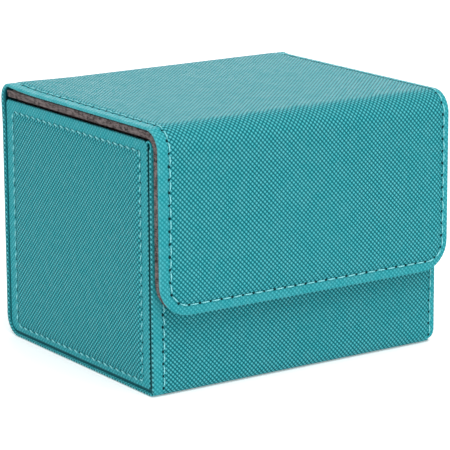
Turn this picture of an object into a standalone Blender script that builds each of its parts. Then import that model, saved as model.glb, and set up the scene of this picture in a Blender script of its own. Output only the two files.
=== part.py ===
"""A side-loading card deck box in stitched, embossed leatherette over board.

The box is a band (front wall, bottom and back wall) with two side panels set between its ends. One cover runs
from the back wall over the top and folds down over the front as a flap, which magnets hold to the front wall.
X is the width, -Y is the front, Z is up, and the origin is the middle of the footprint.
"""

import math

import bmesh
import bpy
from mathutils import Vector

MM = 0.001

# Overall sizes
BAND_HALF_WIDTH = 53.0 * MM
LID_HALF_WIDTH = 53.6 * MM
SIDE_FACE = 52.0 * MM  # outer face of a side panel
FRONT_FACE = -41.4 * MM  # outer face of the front wall
BACK_FACE = 46.2 * MM
FLAP_FACE = -46.2 * MM
LID_TOP = 81.5 * MM
FLAP_BOTTOM = 25.0 * MM
SIDE_TOP = 77.0 * MM
FRONT_TOP = 77.4 * MM

# Layers of a wall, from the outside in
SKIN = 0.8 * MM
GLUE = 0.2 * MM
BAND_BOARD = 1.2 * MM
SIDE_BOARD = 1.4 * MM
LINING = 0.6 * MM
WALL_DEPTH = SKIN + GLUE + BAND_BOARD  # depth of a band skin's turned edges
SIDE_DEPTH = SKIN + GLUE + SIDE_BOARD
COVER_DEPTH = 3.2 * MM  # lid or flap, from its skin's face to its lining's face

# Corners and folds
BOTTOM_FOLD_RADIUS = 6.5 * MM
HINGE_RADIUS = 5.0 * MM
FRONT_FOLD_RADIUS = 7.0 * MM
FLAP_CORNER_RADIUS = 10.5 * MM
FRONT_FOOT_RADIUS = 2.5 * MM  # lower corners of the front wall
FRONT_HEAD_RADIUS = 1.0 * MM
SIDE_HEAD_BACK_RADIUS = 1.5 * MM
SIDE_HEAD_FRONT_RADIUS = 1.0 * MM
SMALL_CORNER = 0.5 * MM
EDGE_ROUND = 0.4 * MM

# Where boards and linings stop short of a folded or rolled edge
FRONT_BOARD_FOOT = 3.0 * MM
FRONT_HEAD_GAP = 2.6 * MM  # below the front wall's rolled top edge
BOTTOM_BOARD_GAP = 1.4 * MM  # behind the fold between the bottom and the front
SIDE_BOARD_GAP = 1.0 * MM  # behind a side skin's turned front edge
BACK_LINING_TOP = 74.0 * MM

# Stitching
THREAD_RADIUS = 0.18 * MM
THREAD_DEPTH = 0.26 * MM  # from the skin's face to the thread's middle
GROOVE_WIDTH = 0.8 * MM
GROOVE_DEPTH = 0.55 * MM
LID_STITCH_X = 50.2 * MM
BAND_STITCH_X = 49.8 * MM
FLAP_STITCH_BOTTOM = 28.2 * MM
FLAP_STITCH_RADIUS = 6.5 * MM
SIDE_STITCH_FRONT = -33.2 * MM
SIDE_STITCH_BACK = 41.0 * MM
SIDE_STITCH_BOTTOM = 4.6 * MM
SIDE_STITCH_TOP = 73.4 * MM
SIDE_STITCH_CORNER = 1.0 * MM
SIDE_STITCH_FOOT_BACK = 2.2 * MM
FRONT_STITCH_FOOT = 2.4 * MM
FRONT_STITCH_HEAD_GAP = 3.0 * MM
BACK_STITCH_FOOT_GAP = 2.0 * MM
BACK_STITCH_HEAD_GAP = 1.5 * MM
COVER_STITCH_END_GAP = 1.0 * MM

# Magnets
MAGNET_RADIUS = 5.0 * MM
MAGNET_THICKNESS = 0.8 * MM
MAGNET_X = 30.0 * MM
MAGNET_Z = 38.0 * MM
MAGNET_CLEARANCE = 0.3 * MM

CORNER_STEPS = 5
ROUND_STEPS = 2
FOLD_STEPS = 10
MAGNET_SIDES = 32

X_AXIS = Vector((1, 0, 0))
Y_AXIS = Vector((0, 1, 0))
Z_AXIS = Vector((0, 0, 1))


def clear_scene():
    for item in list(bpy.data.objects):
        bpy.data.objects.remove(item)


def material(name, colour, roughness, metallic=0.0):
    result = bpy.data.materials.new(name)
    result.use_nodes = True
    shader = result.node_tree.nodes["Principled BSDF"]
    shader.inputs["Base Color"].default_value = (*colour, 1.0)
    shader.inputs["Roughness"].default_value = roughness
    shader.inputs["Metallic"].default_value = metallic
    return result


class Face:
    """The outer face of a panel: u and v run across it, and depth goes into the box from it."""

    def __init__(self, origin, u_axis, v_axis, inward):
        self.origin = origin
        self.u_axis = u_axis
        self.v_axis = v_axis
        self.inward = inward

    def point(self, u, v, depth):
        return self.origin + u * self.u_axis + v * self.v_axis + depth * self.inward


FRONT = Face(Vector((0, FRONT_FACE, 0)), X_AXIS, Z_AXIS, Y_AXIS)
BACK = Face(Vector((0, BACK_FACE, 0)), X_AXIS, Z_AXIS, -Y_AXIS)
BOTTOM = Face(Vector((0, 0, 0)), X_AXIS, Y_AXIS, Z_AXIS)
LEFT = Face(Vector((-SIDE_FACE, 0, 0)), Y_AXIS, Z_AXIS, X_AXIS)
RIGHT = Face(Vector((SIDE_FACE, 0, 0)), Y_AXIS, Z_AXIS, -X_AXIS)
LID = Face(Vector((0, 0, LID_TOP)), X_AXIS, Y_AXIS, -Z_AXIS)
FLAP = Face(Vector((0, FLAP_FACE, 0)), X_AXIS, Z_AXIS, Y_AXIS)


def arc(centre_u, centre_v, radius, start, end, steps):
    """Points along an arc, with its angles in degrees."""
    angles = [math.radians(start + (end - start) * i / steps) for i in range(steps + 1)]
    return [(centre_u + radius * math.cos(a), centre_v + radius * math.sin(a)) for a in angles]


def panel_outline(low, high, radii, inset=0.0):
    """A rectangle's outline, with a radius for each corner, counter-clockwise from the low corner."""
    left, bottom = low[0] + inset, low[1] + inset
    right, top = high[0] - inset, high[1] - inset
    corners = [(left, bottom, 1, 1), (right, bottom, -1, 1), (right, top, -1, -1), (left, top, 1, -1)]
    points = []
    for index, (u, v, side_u, side_v) in enumerate(corners):
        radius = max(radii[index] - inset, 0.1 * MM)
        start = 180 + 90 * index
        points += arc(u + side_u * radius, v + side_v * radius, radius, start, start + 90, CORNER_STEPS)
    return points


def build_object(name, mesh_builder, finish):
    """Make an object from a bmesh, facing out, with one material."""
    bmesh.ops.recalc_face_normals(mesh_builder, faces=mesh_builder.faces)
    mesh = bpy.data.meshes.new(name)
    mesh_builder.to_mesh(mesh)
    mesh_builder.free()
    mesh.materials.append(finish)
    result = bpy.data.objects.new(name, mesh)
    bpy.context.collection.objects.link(result)
    return result


def solid_from_rings(name, rings, finish, closed_loop=False):
    """Join rings of equal point counts side by side, and cap the two ends or join them up."""
    builder = bmesh.new()
    loops = [[builder.verts.new(point) for point in ring] for ring in rings]
    pairs = list(zip(loops, loops[1:]))
    if closed_loop:
        pairs.append((loops[-1], loops[0]))
    else:
        builder.faces.new(loops[0])
        builder.faces.new(loops[-1])
    for near, far in pairs:
        for i in range(len(near)):
            j = (i + 1) % len(near)
            builder.faces.new((near[i], near[j], far[j], far[i]))
    return build_object(name, builder, finish)


def rounded_edge_rings(face, low, high, radii):
    """The rings that round a panel's outer edge, from its flat face to its side."""
    rings = []
    for i in range(ROUND_STEPS + 1):
        angle = math.radians(90.0 * i / ROUND_STEPS)
        inset = EDGE_ROUND * (1 - math.sin(angle))
        depth = EDGE_ROUND * (1 - math.cos(angle))
        rings.append([face.point(u, v, depth) for u, v in panel_outline(low, high, radii, inset)])
    return rings


def tray(name, face, low, high, radii, wall, depth, finish):
    """A skin or lining whose edges turn inward by depth, leaving a pocket for its board."""
    rings = rounded_edge_rings(face, low, high, radii)
    rings.append([face.point(u, v, depth) for u, v in panel_outline(low, high, radii)])
    inner = panel_outline(low, high, radii, wall)
    rings.append([face.point(u, v, depth) for u, v in inner])
    rings.append([face.point(u, v, wall) for u, v in inner])
    return solid_from_rings(name, rings, finish)


def sheet(name, face, low, high, radii, near, far, finish):
    """A flat layer between two depths."""
    outline = panel_outline(low, high, radii)
    rings = [[face.point(u, v, depth) for u, v in outline] for depth in (near, far)]
    return solid_from_rings(name, rings, finish)


def inset_box(low, high, amount):
    return (low[0] + amount, low[1] + amount), (high[0] - amount, high[1] - amount)


def inset_radii(radii, amount):
    return [max(radius - amount, SMALL_CORNER) for radius in radii]


def bent_strip(name, path, section, finish):
    """A strip bent about X: path holds (y, z, angle of the outward normal), section holds (x, depth)."""
    rings = []
    for y, z, angle in path:
        outward = Vector((0, math.cos(angle), math.sin(angle)))
        rings.append([Vector((x, y, z)) - depth * outward for x, depth in section])
    return solid_from_rings(name, rings, finish)


def bend_path(centre_y, centre_z, radius, start, end):
    """Stations round a fold, with angles in degrees."""
    stations = []
    for i in range(FOLD_STEPS + 1):
        angle = math.radians(start + (end - start) * i / FOLD_STEPS)
        stations.append((centre_y + radius * math.cos(angle), centre_z + radius * math.sin(angle), angle))
    return stations


def flat_section(half_width, near, far):
    return [(-half_width, near), (half_width, near), (half_width, far), (-half_width, far)]


def lipped_section(half_width, wall, depth):
    """A channel: flat outside, with its two edges turned in by depth."""
    inner = half_width - wall
    outside = [(-half_width, 0.0), (half_width, 0.0), (half_width, depth), (inner, depth)]
    inside = [(inner, wall), (-inner, wall), (-inner, depth), (-half_width, depth)]
    return outside + inside


def swept_ring(point, along, outward, section):
    """One ring of a stitch line or its groove: section holds (across, height) about the point."""
    across = along.cross(outward)
    return [point + s * across + h * outward for s, h in section]


def sweep_line(name, points, normals, section, finish, closed):
    """Sweep a section along a line that lies on a surface with the given normals."""
    rings = []
    count = len(points)
    for i in range(count):
        if closed:
            along = points[(i + 1) % count] - points[i - 1]
        else:
            along = points[min(i + 1, count - 1)] - points[max(i - 1, 0)]
        rings.append(swept_ring(points[i], along.normalized(), normals[i], section))
    return solid_from_rings(name, rings, finish, closed)


def round_section(radius, height):
    return arc(0.0, height, radius, 0, 300, 5)


def stitch_line(name, skin, points, normals, finish, closed=False):
    """Lay a thread in a groove pressed into a skin. Points lie on the skin's face."""
    half = GROOVE_WIDTH / 2
    groove_section = [(-half, -GROOVE_DEPTH), (half, -GROOVE_DEPTH), (half, SKIN), (-half, SKIN)]
    groove = sweep_line(name + "_groove", points, normals, groove_section, finish, closed)
    groove.hide_render = True
    groove.display_type = "WIRE"
    cut = skin.modifiers.new(name + "_groove", "BOOLEAN")
    cut.operation = "DIFFERENCE"
    cut.solver = "EXACT"
    cut.object = groove
    section = round_section(THREAD_RADIUS, -THREAD_DEPTH)
    return sweep_line(name, points, normals, section, finish, closed)


def board_with_holes(name, face, low, high, radii, near, far, finish, hole_v):
    """A board with a hole for each magnet."""
    board = sheet(name, face, low, high, radii, near, far, finish)
    for side in (-1, 1):
        cutter = disc(f"{name}_hole_{side}", face, side * MAGNET_X, hole_v, near - GLUE, far + GLUE,
                      MAGNET_RADIUS + MAGNET_CLEARANCE, finish)
        cutter.hide_render = True
        cutter.display_type = "WIRE"
        cut = board.modifiers.new(cutter.name, "BOOLEAN")
        cut.operation = "DIFFERENCE"
        cut.solver = "EXACT"
        cut.object = cutter
    return board


def disc(name, face, u, v, near, far, radius, finish):
    circle = arc(u, v, radius, 0, 360 - 360 / MAGNET_SIDES, MAGNET_SIDES - 1)
    rings = [[face.point(a, b, depth) for a, b in circle] for depth in (near, far)]
    return solid_from_rings(name, rings, finish)


def magnets(prefix, face, board_near, board_thickness, finish):
    """Two disc magnets, each in the middle of its board's thickness."""
    near = board_near + (board_thickness - MAGNET_THICKNESS) / 2
    made = []
    for side_name, side in (("left", -1), ("right", 1)):
        made.append(disc(f"{prefix}_magnet_{side_name}", face, side * MAGNET_X, MAGNET_Z, near,
                         near + MAGNET_THICKNESS, MAGNET_RADIUS, finish))
    return made


def straight_line(face, start, end, steps):
    points = []
    for i in range(steps + 1):
        share = i / steps
        u = start[0] + (end[0] - start[0]) * share
        v = start[1] + (end[1] - start[1]) * share
        points.append(face.point(u, v, 0.0))
    return points, [-face.inward] * len(points)


def make_front_wall(finishes):
    low, high = (-BAND_HALF_WIDTH, 0.0), (BAND_HALF_WIDTH, FRONT_TOP)
    radii = [FRONT_FOOT_RADIUS, FRONT_FOOT_RADIUS, FRONT_HEAD_RADIUS, FRONT_HEAD_RADIUS]
    skin = tray("front_skin", FRONT, low, high, radii, SKIN, WALL_DEPTH, finishes["leather"])
    board_near = SKIN + GLUE
    board_half_width = BAND_HALF_WIDTH - board_near
    board_with_holes("front_board", FRONT, (-board_half_width, FRONT_BOARD_FOOT),
                     (board_half_width, FRONT_TOP - FRONT_HEAD_GAP), inset_radii(radii, board_near), board_near,
                     WALL_DEPTH, finishes["board"], MAGNET_Z)
    magnets("front", FRONT, board_near, BAND_BOARD, finishes["magnet"])
    inner_width = inner_half_width() - GLUE
    sheet("front_lining", FRONT, (-inner_width, bottom_inside() + GLUE),
          (inner_width, FRONT_TOP - FRONT_HEAD_GAP), [SMALL_CORNER] * 4, WALL_DEPTH + GLUE,
          WALL_DEPTH + GLUE + LINING, finishes["lining"])
    for side_name, side in (("left", -1), ("right", 1)):
        x = side * BAND_STITCH_X
        line = straight_line(FRONT, (x, FRONT_STITCH_FOOT), (x, FRONT_TOP - FRONT_STITCH_HEAD_GAP), 2)
        stitch_line(f"front_thread_{side_name}", skin, *line, finishes["thread"])


def inner_half_width():
    """Half the clear width between the two side linings."""
    return SIDE_FACE - SIDE_DEPTH - GLUE - LINING


def bottom_inside():
    """Height of the inside floor."""
    return WALL_DEPTH + GLUE + LINING


def make_back_wall(finishes):
    low = (-BAND_HALF_WIDTH, BOTTOM_FOLD_RADIUS + GLUE)
    high = (BAND_HALF_WIDTH, LID_TOP - HINGE_RADIUS - GLUE)
    radii = [SMALL_CORNER] * 4
    skin = tray("back_skin", BACK, low, high, radii, SKIN, WALL_DEPTH, finishes["leather"])
    pocket = inset_box(low, high, SKIN + GLUE)
    sheet("back_board", BACK, *pocket, radii, SKIN + GLUE, WALL_DEPTH, finishes["board"])
    inner_width = inner_half_width() - GLUE
    sheet("back_lining", BACK, (-inner_width, bottom_inside() + GLUE), (inner_width, BACK_LINING_TOP), radii,
          WALL_DEPTH + GLUE, WALL_DEPTH + GLUE + LINING, finishes["lining"])
    for side_name, side in (("left", -1), ("right", 1)):
        x = side * BAND_STITCH_X
        line = straight_line(BACK, (x, low[1] + BACK_STITCH_FOOT_GAP), (x, high[1] - BACK_STITCH_HEAD_GAP), 2)
        stitch_line(f"back_thread_{side_name}", skin, *line, finishes["thread"])


def make_bottom(finishes):
    """The bottom's skin goes round the lower back corner, up to the back wall."""
    front_end = FRONT_FACE + WALL_DEPTH + GLUE
    centre_y = BACK_FACE - BOTTOM_FOLD_RADIUS
    flat = [(front_end, 0.0, math.radians(-90))]
    path = flat + bend_path(centre_y, BOTTOM_FOLD_RADIUS, BOTTOM_FOLD_RADIUS, -90, 0)
    bent_strip("bottom_skin", path, lipped_section(BAND_HALF_WIDTH, SKIN, WALL_DEPTH), finishes["leather"])
    board_width = BAND_HALF_WIDTH - SKIN - GLUE
    sheet("bottom_board", BOTTOM, (-board_width, front_end + BOTTOM_BOARD_GAP), (board_width, centre_y),
          [SMALL_CORNER] * 4, SKIN + GLUE, WALL_DEPTH, finishes["board"])
    lining_width = inner_half_width() - GLUE
    wall = WALL_DEPTH + GLUE + LINING + GLUE
    sheet("bottom_lining", BOTTOM, (-lining_width, FRONT_FACE + wall), (lining_width, BACK_FACE - wall),
          [SMALL_CORNER] * 4, WALL_DEPTH + GLUE, WALL_DEPTH + GLUE + LINING, finishes["lining"])


def side_stitch_path(face):
    """The stitched rectangle on a side panel, with its lower back corner rounded."""
    low = (SIDE_STITCH_FRONT, SIDE_STITCH_BOTTOM)
    high = (SIDE_STITCH_BACK, SIDE_STITCH_TOP)
    radii = [SIDE_STITCH_CORNER, SIDE_STITCH_FOOT_BACK, SIDE_STITCH_CORNER, SIDE_STITCH_CORNER]
    outline = panel_outline(low, high, radii)
    points = [face.point(u, v, 0.0) for u, v in outline]
    return points, [-face.inward] * len(points)


def make_side_panel(side_name, face, finishes):
    """A side panel stands between the front and back walls, on the bottom."""
    low = (FRONT_FACE + WALL_DEPTH + GLUE, WALL_DEPTH + GLUE)
    high = (BACK_FACE - WALL_DEPTH - GLUE, SIDE_TOP)
    fold_corner = BOTTOM_FOLD_RADIUS - WALL_DEPTH - GLUE
    radii = [SMALL_CORNER, fold_corner, SIDE_HEAD_BACK_RADIUS, SIDE_HEAD_FRONT_RADIUS]
    skin = tray(f"{side_name}_side_skin", face, low, high, radii, SKIN, SIDE_DEPTH, finishes["leather"])
    pocket_low, pocket_high = inset_box(low, high, SKIN + GLUE)
    board_low = (pocket_low[0] + SIDE_BOARD_GAP, pocket_low[1])
    sheet(f"{side_name}_side_board", face, board_low, pocket_high, inset_radii(radii, SKIN + GLUE), SKIN + GLUE,
          SIDE_DEPTH, finishes["board"])
    lined = inset_box(low, high, 2 * GLUE)
    sheet(f"{side_name}_side_lining", face, *lined, inset_radii(radii, 2 * GLUE), SIDE_DEPTH + GLUE,
          SIDE_DEPTH + GLUE + LINING, finishes["lining"])
    stitch_line(f"{side_name}_side_thread", skin, *side_stitch_path(face), finishes["thread"], closed=True)


def bend_stitches(prefix, skin, path, half_width, finishes):
    """The two stitch lines that cross a fold near its edges."""
    normals = [Vector((0, math.cos(angle), math.sin(angle))) for _, _, angle in path]
    made = []
    for side_name, side in (("left", -1), ("right", 1)):
        points = [Vector((side * half_width, y, z)) for y, z, _ in path]
        made.append(stitch_line(f"{prefix}_thread_{side_name}", skin, points, normals, finishes["thread"]))
    return made


def make_hinge(finishes):
    """The flexible strip that joins the back wall to the lid."""
    centre_y = BACK_FACE - HINGE_RADIUS
    centre_z = LID_TOP - HINGE_RADIUS
    path = bend_path(centre_y, centre_z, HINGE_RADIUS, 0, 90)
    skin = bent_strip("hinge_skin", path, flat_section(BAND_HALF_WIDTH, 0.0, SKIN), finishes["leather"])
    lining_radius = HINGE_RADIUS - WALL_DEPTH - GLUE
    lining_path = bend_path(centre_y, centre_z, lining_radius, 0, 90)
    bent_strip("hinge_lining", lining_path, flat_section(inner_half_width() - GLUE, 0.0, LINING),
               finishes["lining"])
    bend_stitches("hinge", skin, path, BAND_STITCH_X, finishes)


def cover_panel(name, face, low, high, radii, finishes):
    """A stiff panel of the cover: a skin sheet, and a lining that wraps the board's edges."""
    rings = rounded_edge_rings(face, low, high, radii)
    rings.append([face.point(u, v, SKIN) for u, v in panel_outline(low, high, radii)])
    skin = solid_from_rings(f"{name}_skin", rings, finishes["leather"])
    inside = Face(face.origin + COVER_DEPTH * face.inward, face.u_axis, face.v_axis, -face.inward)
    wrapped = inset_box(low, high, GLUE)
    lining_depth = COVER_DEPTH - SKIN - GLUE
    lining = tray(f"{name}_lining", inside, *wrapped, inset_radii(radii, GLUE), LINING, lining_depth,
                  finishes["lining"])
    return skin, lining


def make_lid(finishes):
    low = (-LID_HALF_WIDTH, FLAP_FACE + FRONT_FOLD_RADIUS + GLUE)
    high = (LID_HALF_WIDTH, BACK_FACE - HINGE_RADIUS - GLUE)
    radii = [SMALL_CORNER] * 4
    skin, lining = cover_panel("lid", LID, low, high, radii, finishes)
    pocket = inset_box(low, high, GLUE + LINING + GLUE)
    board = sheet("lid_board", LID, *pocket, radii, SKIN + GLUE, COVER_DEPTH - LINING - GLUE, finishes["board"])
    made = [skin, lining, board]
    for side_name, side in (("left", -1), ("right", 1)):
        x = side * LID_STITCH_X
        line = straight_line(LID, (x, low[1] + COVER_STITCH_END_GAP), (x, high[1] - COVER_STITCH_END_GAP), 2)
        made.append(stitch_line(f"lid_thread_{side_name}", skin, *line, finishes["thread"]))
    return made


def make_front_fold(finishes):
    """The flexible fold between the lid and the flap."""
    centre_y = FLAP_FACE + FRONT_FOLD_RADIUS
    centre_z = LID_TOP - FRONT_FOLD_RADIUS
    path = bend_path(centre_y, centre_z, FRONT_FOLD_RADIUS, 90, 180)
    skin = bent_strip("fold_skin", path, flat_section(LID_HALF_WIDTH, 0.0, SKIN), finishes["leather"])
    lining = bent_strip("fold_lining", path, flat_section(LID_HALF_WIDTH - GLUE, SKIN + GLUE, COVER_DEPTH),
                        finishes["lining"])
    return [skin, lining] + bend_stitches("fold", skin, path, LID_STITCH_X, finishes)


def flap_stitch_path(top):
    """Down the left side, round the corners, along the bottom and up the right side."""
    left, right, bottom, radius = -LID_STITCH_X, LID_STITCH_X, FLAP_STITCH_BOTTOM, FLAP_STITCH_RADIUS
    outline = [(left, top)]
    outline += arc(left + radius, bottom + radius, radius, 180, 270, CORNER_STEPS)
    outline += arc(right - radius, bottom + radius, radius, 270, 360, CORNER_STEPS)
    outline.append((right, top))
    points = [FLAP.point(u, v, 0.0) for u, v in outline]
    return points, [-FLAP.inward] * len(points)


def make_flap(finishes):
    low = (-LID_HALF_WIDTH, FLAP_BOTTOM)
    high = (LID_HALF_WIDTH, LID_TOP - FRONT_FOLD_RADIUS - GLUE)
    radii = [FLAP_CORNER_RADIUS, FLAP_CORNER_RADIUS, SMALL_CORNER, SMALL_CORNER]
    skin, lining = cover_panel("flap", FLAP, low, high, radii, finishes)
    inset = GLUE + LINING + GLUE
    board_near = SKIN + GLUE
    board_far = COVER_DEPTH - LINING - GLUE
    board = board_with_holes("flap_board", FLAP, *inset_box(low, high, inset), inset_radii(radii, inset),
                             board_near, board_far, finishes["board"], MAGNET_Z)
    made = [skin, lining, board]
    made += magnets("flap", FLAP, board_near, board_far - board_near, finishes["magnet"])
    line = flap_stitch_path(high[1] - COVER_STITCH_END_GAP)
    made.append(stitch_line("flap_thread", skin, *line, finishes["thread"]))
    return made


def fold_axis(centre_y, centre_z, radius, side):
    """The axis of a fold whose strip keeps its length as a quarter turn straightens it.

    side is 1 where the strip bends down behind the lid, and -1 where it bends down in front.
    """
    offset = radius * math.pi / 4
    return centre_y + side * offset, centre_z + offset


def joint_empty(name, y, z, parent=None):
    result = bpy.data.objects.new(name, None)
    bpy.context.collection.objects.link(result)
    result.location = (0.0, y, z)
    bpy.context.view_layer.update()
    if parent is not None:
        attach([result], parent)
    return result


def attach(children, parent):
    """Parent objects to an empty without moving them."""
    bpy.context.view_layer.update()
    for child in children:
        child.parent = parent
        child.matrix_parent_inverse = parent.matrix_world.inverted()
    bpy.context.view_layer.update()


def make_finishes():
    return {
        "leather": material("leather", (0.045, 0.36, 0.38), 0.5),
        "lining": material("lining", (0.13, 0.125, 0.13), 0.95),
        "board": material("board", (0.36, 0.34, 0.31), 0.9),
        "thread": material("thread", (0.2, 0.62, 0.64), 0.6),
        "magnet": material("magnet", (0.55, 0.55, 0.56), 0.3, 1.0),
    }


def make_box():
    finishes = make_finishes()
    make_front_wall(finishes)
    make_back_wall(finishes)
    make_bottom(finishes)
    make_side_panel("left", LEFT, finishes)
    make_side_panel("right", RIGHT, finishes)
    make_hinge(finishes)
    lid_axis = joint_empty("lid_hinge_axis", *fold_axis(BACK_FACE - HINGE_RADIUS, LID_TOP - HINGE_RADIUS,
                                                        HINGE_RADIUS, 1))
    attach(make_lid(finishes) + make_front_fold(finishes), lid_axis)
    flap_axis = joint_empty("flap_fold_axis", *fold_axis(FLAP_FACE + FRONT_FOLD_RADIUS,
                                                         LID_TOP - FRONT_FOLD_RADIUS, FRONT_FOLD_RADIUS, -1),
                            parent=lid_axis)
    attach(make_flap(finishes), flap_axis)


clear_scene()
make_box()
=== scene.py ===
"""The looks of a card deck box in embossed leatherette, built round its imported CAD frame."""

from collections import namedtuple
import math

import bmesh
import bpy
import numpy as np
from mathutils import Matrix, Vector


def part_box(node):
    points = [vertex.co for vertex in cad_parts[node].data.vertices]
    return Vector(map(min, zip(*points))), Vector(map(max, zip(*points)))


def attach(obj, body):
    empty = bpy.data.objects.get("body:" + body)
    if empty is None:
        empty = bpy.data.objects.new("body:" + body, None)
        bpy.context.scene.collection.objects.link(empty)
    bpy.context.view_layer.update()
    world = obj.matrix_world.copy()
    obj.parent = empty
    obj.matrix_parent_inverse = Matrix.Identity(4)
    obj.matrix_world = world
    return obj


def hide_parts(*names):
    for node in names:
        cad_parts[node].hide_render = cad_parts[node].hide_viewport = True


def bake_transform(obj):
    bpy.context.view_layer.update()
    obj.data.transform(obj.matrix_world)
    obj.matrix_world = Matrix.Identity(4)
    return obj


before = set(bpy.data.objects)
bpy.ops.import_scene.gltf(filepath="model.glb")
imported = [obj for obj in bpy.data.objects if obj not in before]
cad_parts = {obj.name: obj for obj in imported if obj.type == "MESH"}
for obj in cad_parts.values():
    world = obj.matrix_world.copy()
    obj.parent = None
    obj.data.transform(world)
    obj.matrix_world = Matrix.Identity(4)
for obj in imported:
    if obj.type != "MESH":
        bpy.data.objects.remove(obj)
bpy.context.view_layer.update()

MM = 0.001
chance = np.random.default_rng(7)


# -------- sizes from the frame

def node_box(name):
    low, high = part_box(name)
    return Vector(low), Vector(high)


LID_HALF = node_box("lid_skin")[1].x
BAND_HALF = node_box("back_skin")[1].x
LID_TOP = node_box("lid_skin")[1].z
FLAP_FACE = node_box("flap_skin")[0].y
FLAP_BOTTOM = node_box("flap_skin")[0].z
FRONT_FACE = node_box("front_skin")[0].y
FRONT_TOP = node_box("front_skin")[1].z
BACK_FACE = node_box("back_skin")[1].y
FOLD_RADIUS = node_box("fold_skin")[1].y - FLAP_FACE
HINGE_RADIUS = BACK_FACE - node_box("hinge_skin")[0].y
BOTTOM_RADIUS = node_box("bottom_skin")[1].z

STITCH = 3.1 * MM  # the stitch line's nominal inset, which each side of a panel stretches to its own
NEAR_EDGE = 0.5 * MM  # within this of the edge, every side of a panel has the same profile
SEAM_Y = 38.0 * MM  # where the two halves of the cover meet, on the flat of the lid
BOTTOM_SEAM_Y = 20.0 * MM  # where the cover meets the band, under the box
FLAP_CORNER = 10.5 * MM
FRONT_BOTTOM_RADIUS = 2.3 * MM
CURL_RADIUS = 1.6 * MM
EDGE_ROUND = 0.4 * MM
WALL = 0.8 * MM  # from a turned edge in to the board
COVER_PITCH = 3.83 * MM
BAND_PITCH = 3.79 * MM
SIDE_PITCH = 3.46 * MM


# -------- lines and surfaces

class Path:
    """A line in the Y-Z plane, of straight runs and right-hand bends. Its outer side is on the left."""

    def __init__(self, y, z, heading):
        self.y, self.z, self.heading = y, z, math.radians(heading)
        self.length = 0.0
        self.pieces = []

    def run(self, length):
        self.pieces.append((self.length, self.y, self.z, self.heading, 0.0))
        self.y += length * math.cos(self.heading)
        self.z += length * math.sin(self.heading)
        self.length += length

    def bend(self, radius, degrees):
        turn = math.radians(degrees)
        self.pieces.append((self.length, self.y, self.z, self.heading, radius))
        centre_y = self.y + radius * math.sin(self.heading)
        centre_z = self.z - radius * math.cos(self.heading)
        self.heading -= turn
        self.y = centre_y - radius * math.sin(self.heading)
        self.z = centre_z + radius * math.cos(self.heading)
        self.length += radius * turn

    def place(self, u, v, h):
        """World points of arrays of flat points (u across, v along, h out from the surface)."""
        out = np.zeros(u.shape + (3,))
        for index, (start, y, z, heading, radius) in enumerate(self.pieces):
            last = index == len(self.pieces) - 1
            end = np.inf if last else self.pieces[index + 1][0]
            here = (v < end) if index == 0 else (v >= start) & (v < end)
            s = v[here] - start
            if radius:
                angle = heading - s / radius
                py = y + radius * math.sin(heading) - radius * np.sin(angle)
                pz = z - radius * math.cos(heading) + radius * np.cos(angle)
            else:
                angle = np.full(s.shape, heading)
                py = y + s * math.cos(heading)
                pz = z + s * math.sin(heading)
            out[here, 0] = u[here]
            out[here, 1] = py - h[here] * np.sin(angle)
            out[here, 2] = pz + h[here] * np.cos(angle)
        return out


class Behind:
    """The inner side of a surface: heights count inwards from its depth, which may change along it."""

    def __init__(self, surface, depth_at):
        self.surface, self.depth_at = surface, depth_at

    def place(self, u, v, h):
        return self.surface.place(u, v, -self.depth_at(v) - h)


class Flat:
    """A flat face with its own across, along and outward directions."""

    def __init__(self, origin, across, along, outward):
        self.origin, self.across, self.along, self.outward = (
            np.array(part, float) for part in (origin, across, along, outward))

    def place(self, u, v, h):
        return (self.origin + u[..., None] * self.across + v[..., None] * self.along
                + h[..., None] * self.outward)


def smooth(t):
    t = np.clip(t, 0.0, 1.0)
    return t * t * (3 - 2 * t)


def shared(start, end, v):
    """How far v has gone from start to end, eased."""
    return float(smooth((v - start) / (end - start)))


def mixed(a, b, share):
    return a + (b - a) * share


def quarter(steps):
    """Angles from 0 to a quarter turn."""
    return [math.pi / 2 * i / steps for i in range(steps + 1)]


def spaced(start, *runs):
    """Places along a path from a start. Each run is the place where it ends and its number of steps."""
    places = [[start]]
    for end, steps in runs:
        places.append(np.linspace(start, end, steps + 1)[1:])
        start = end
    return np.concatenate(places)


# -------- rings round a panel

RECESS = -1.0  # an edge mark for leather or cloth that lies in the dark, inside a seam, where the finishes paint shade
SIDE_WEAR_AND_SHADE, UNDER_WEAR_AND_SHADE = 0.6, 0.4  # edge marks for a turned edge's side and its lower corner, which bring wear and painted shade in the edge's crevices
LOW_LIP, RIM_LIP = 0.14 * MM, 0.1 * MM  # how far outside its pocket a rim begins and ends
DROOP = 0.05 * MM  # how far a border sinks towards its edge
EDGE_STEPS, UNDER_STEPS = 5, 3
CORNER_LINE, CORNER_BEND = 4, 8  # steps along a panel corner's straight parts and round its bend

# A border's rings and shape, in mm from the stitch line, with the middle of the panel on the positive side.
BORDER_STEPS = (5.2, 4.0, 3.0, 2.3, 1.8, 1.4, 1.1, 0.8, 0.55, 0.35, 0.17, 0.0,
                -0.17, -0.35, -0.6, -1.0, -1.5)
SHOULDER, FULL_GRAIN, DROOP_WIDTH = (0.15, 2.05), (-0.6, 0.7), 2.0
GROOVE_DEPTH, GROOVE_WIDTH = 0.12 * MM, 0.36
PUCKER_DEPTH, PUCKER_PLACE, PUCKER_WIDTH = 0.06 * MM, 0.2, 0.9


class Ring:
    """One line round a panel's edge: inset from it, height over the face, grain and place in the pattern."""

    def __init__(self, inset, height, grain, pattern=None, pucker=0.0, edge=0.0):
        self.inset, self.height, self.grain = inset, height, grain
        self.pattern = inset if pattern is None else pattern
        self.pucker, self.edge = pucker, edge


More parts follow.
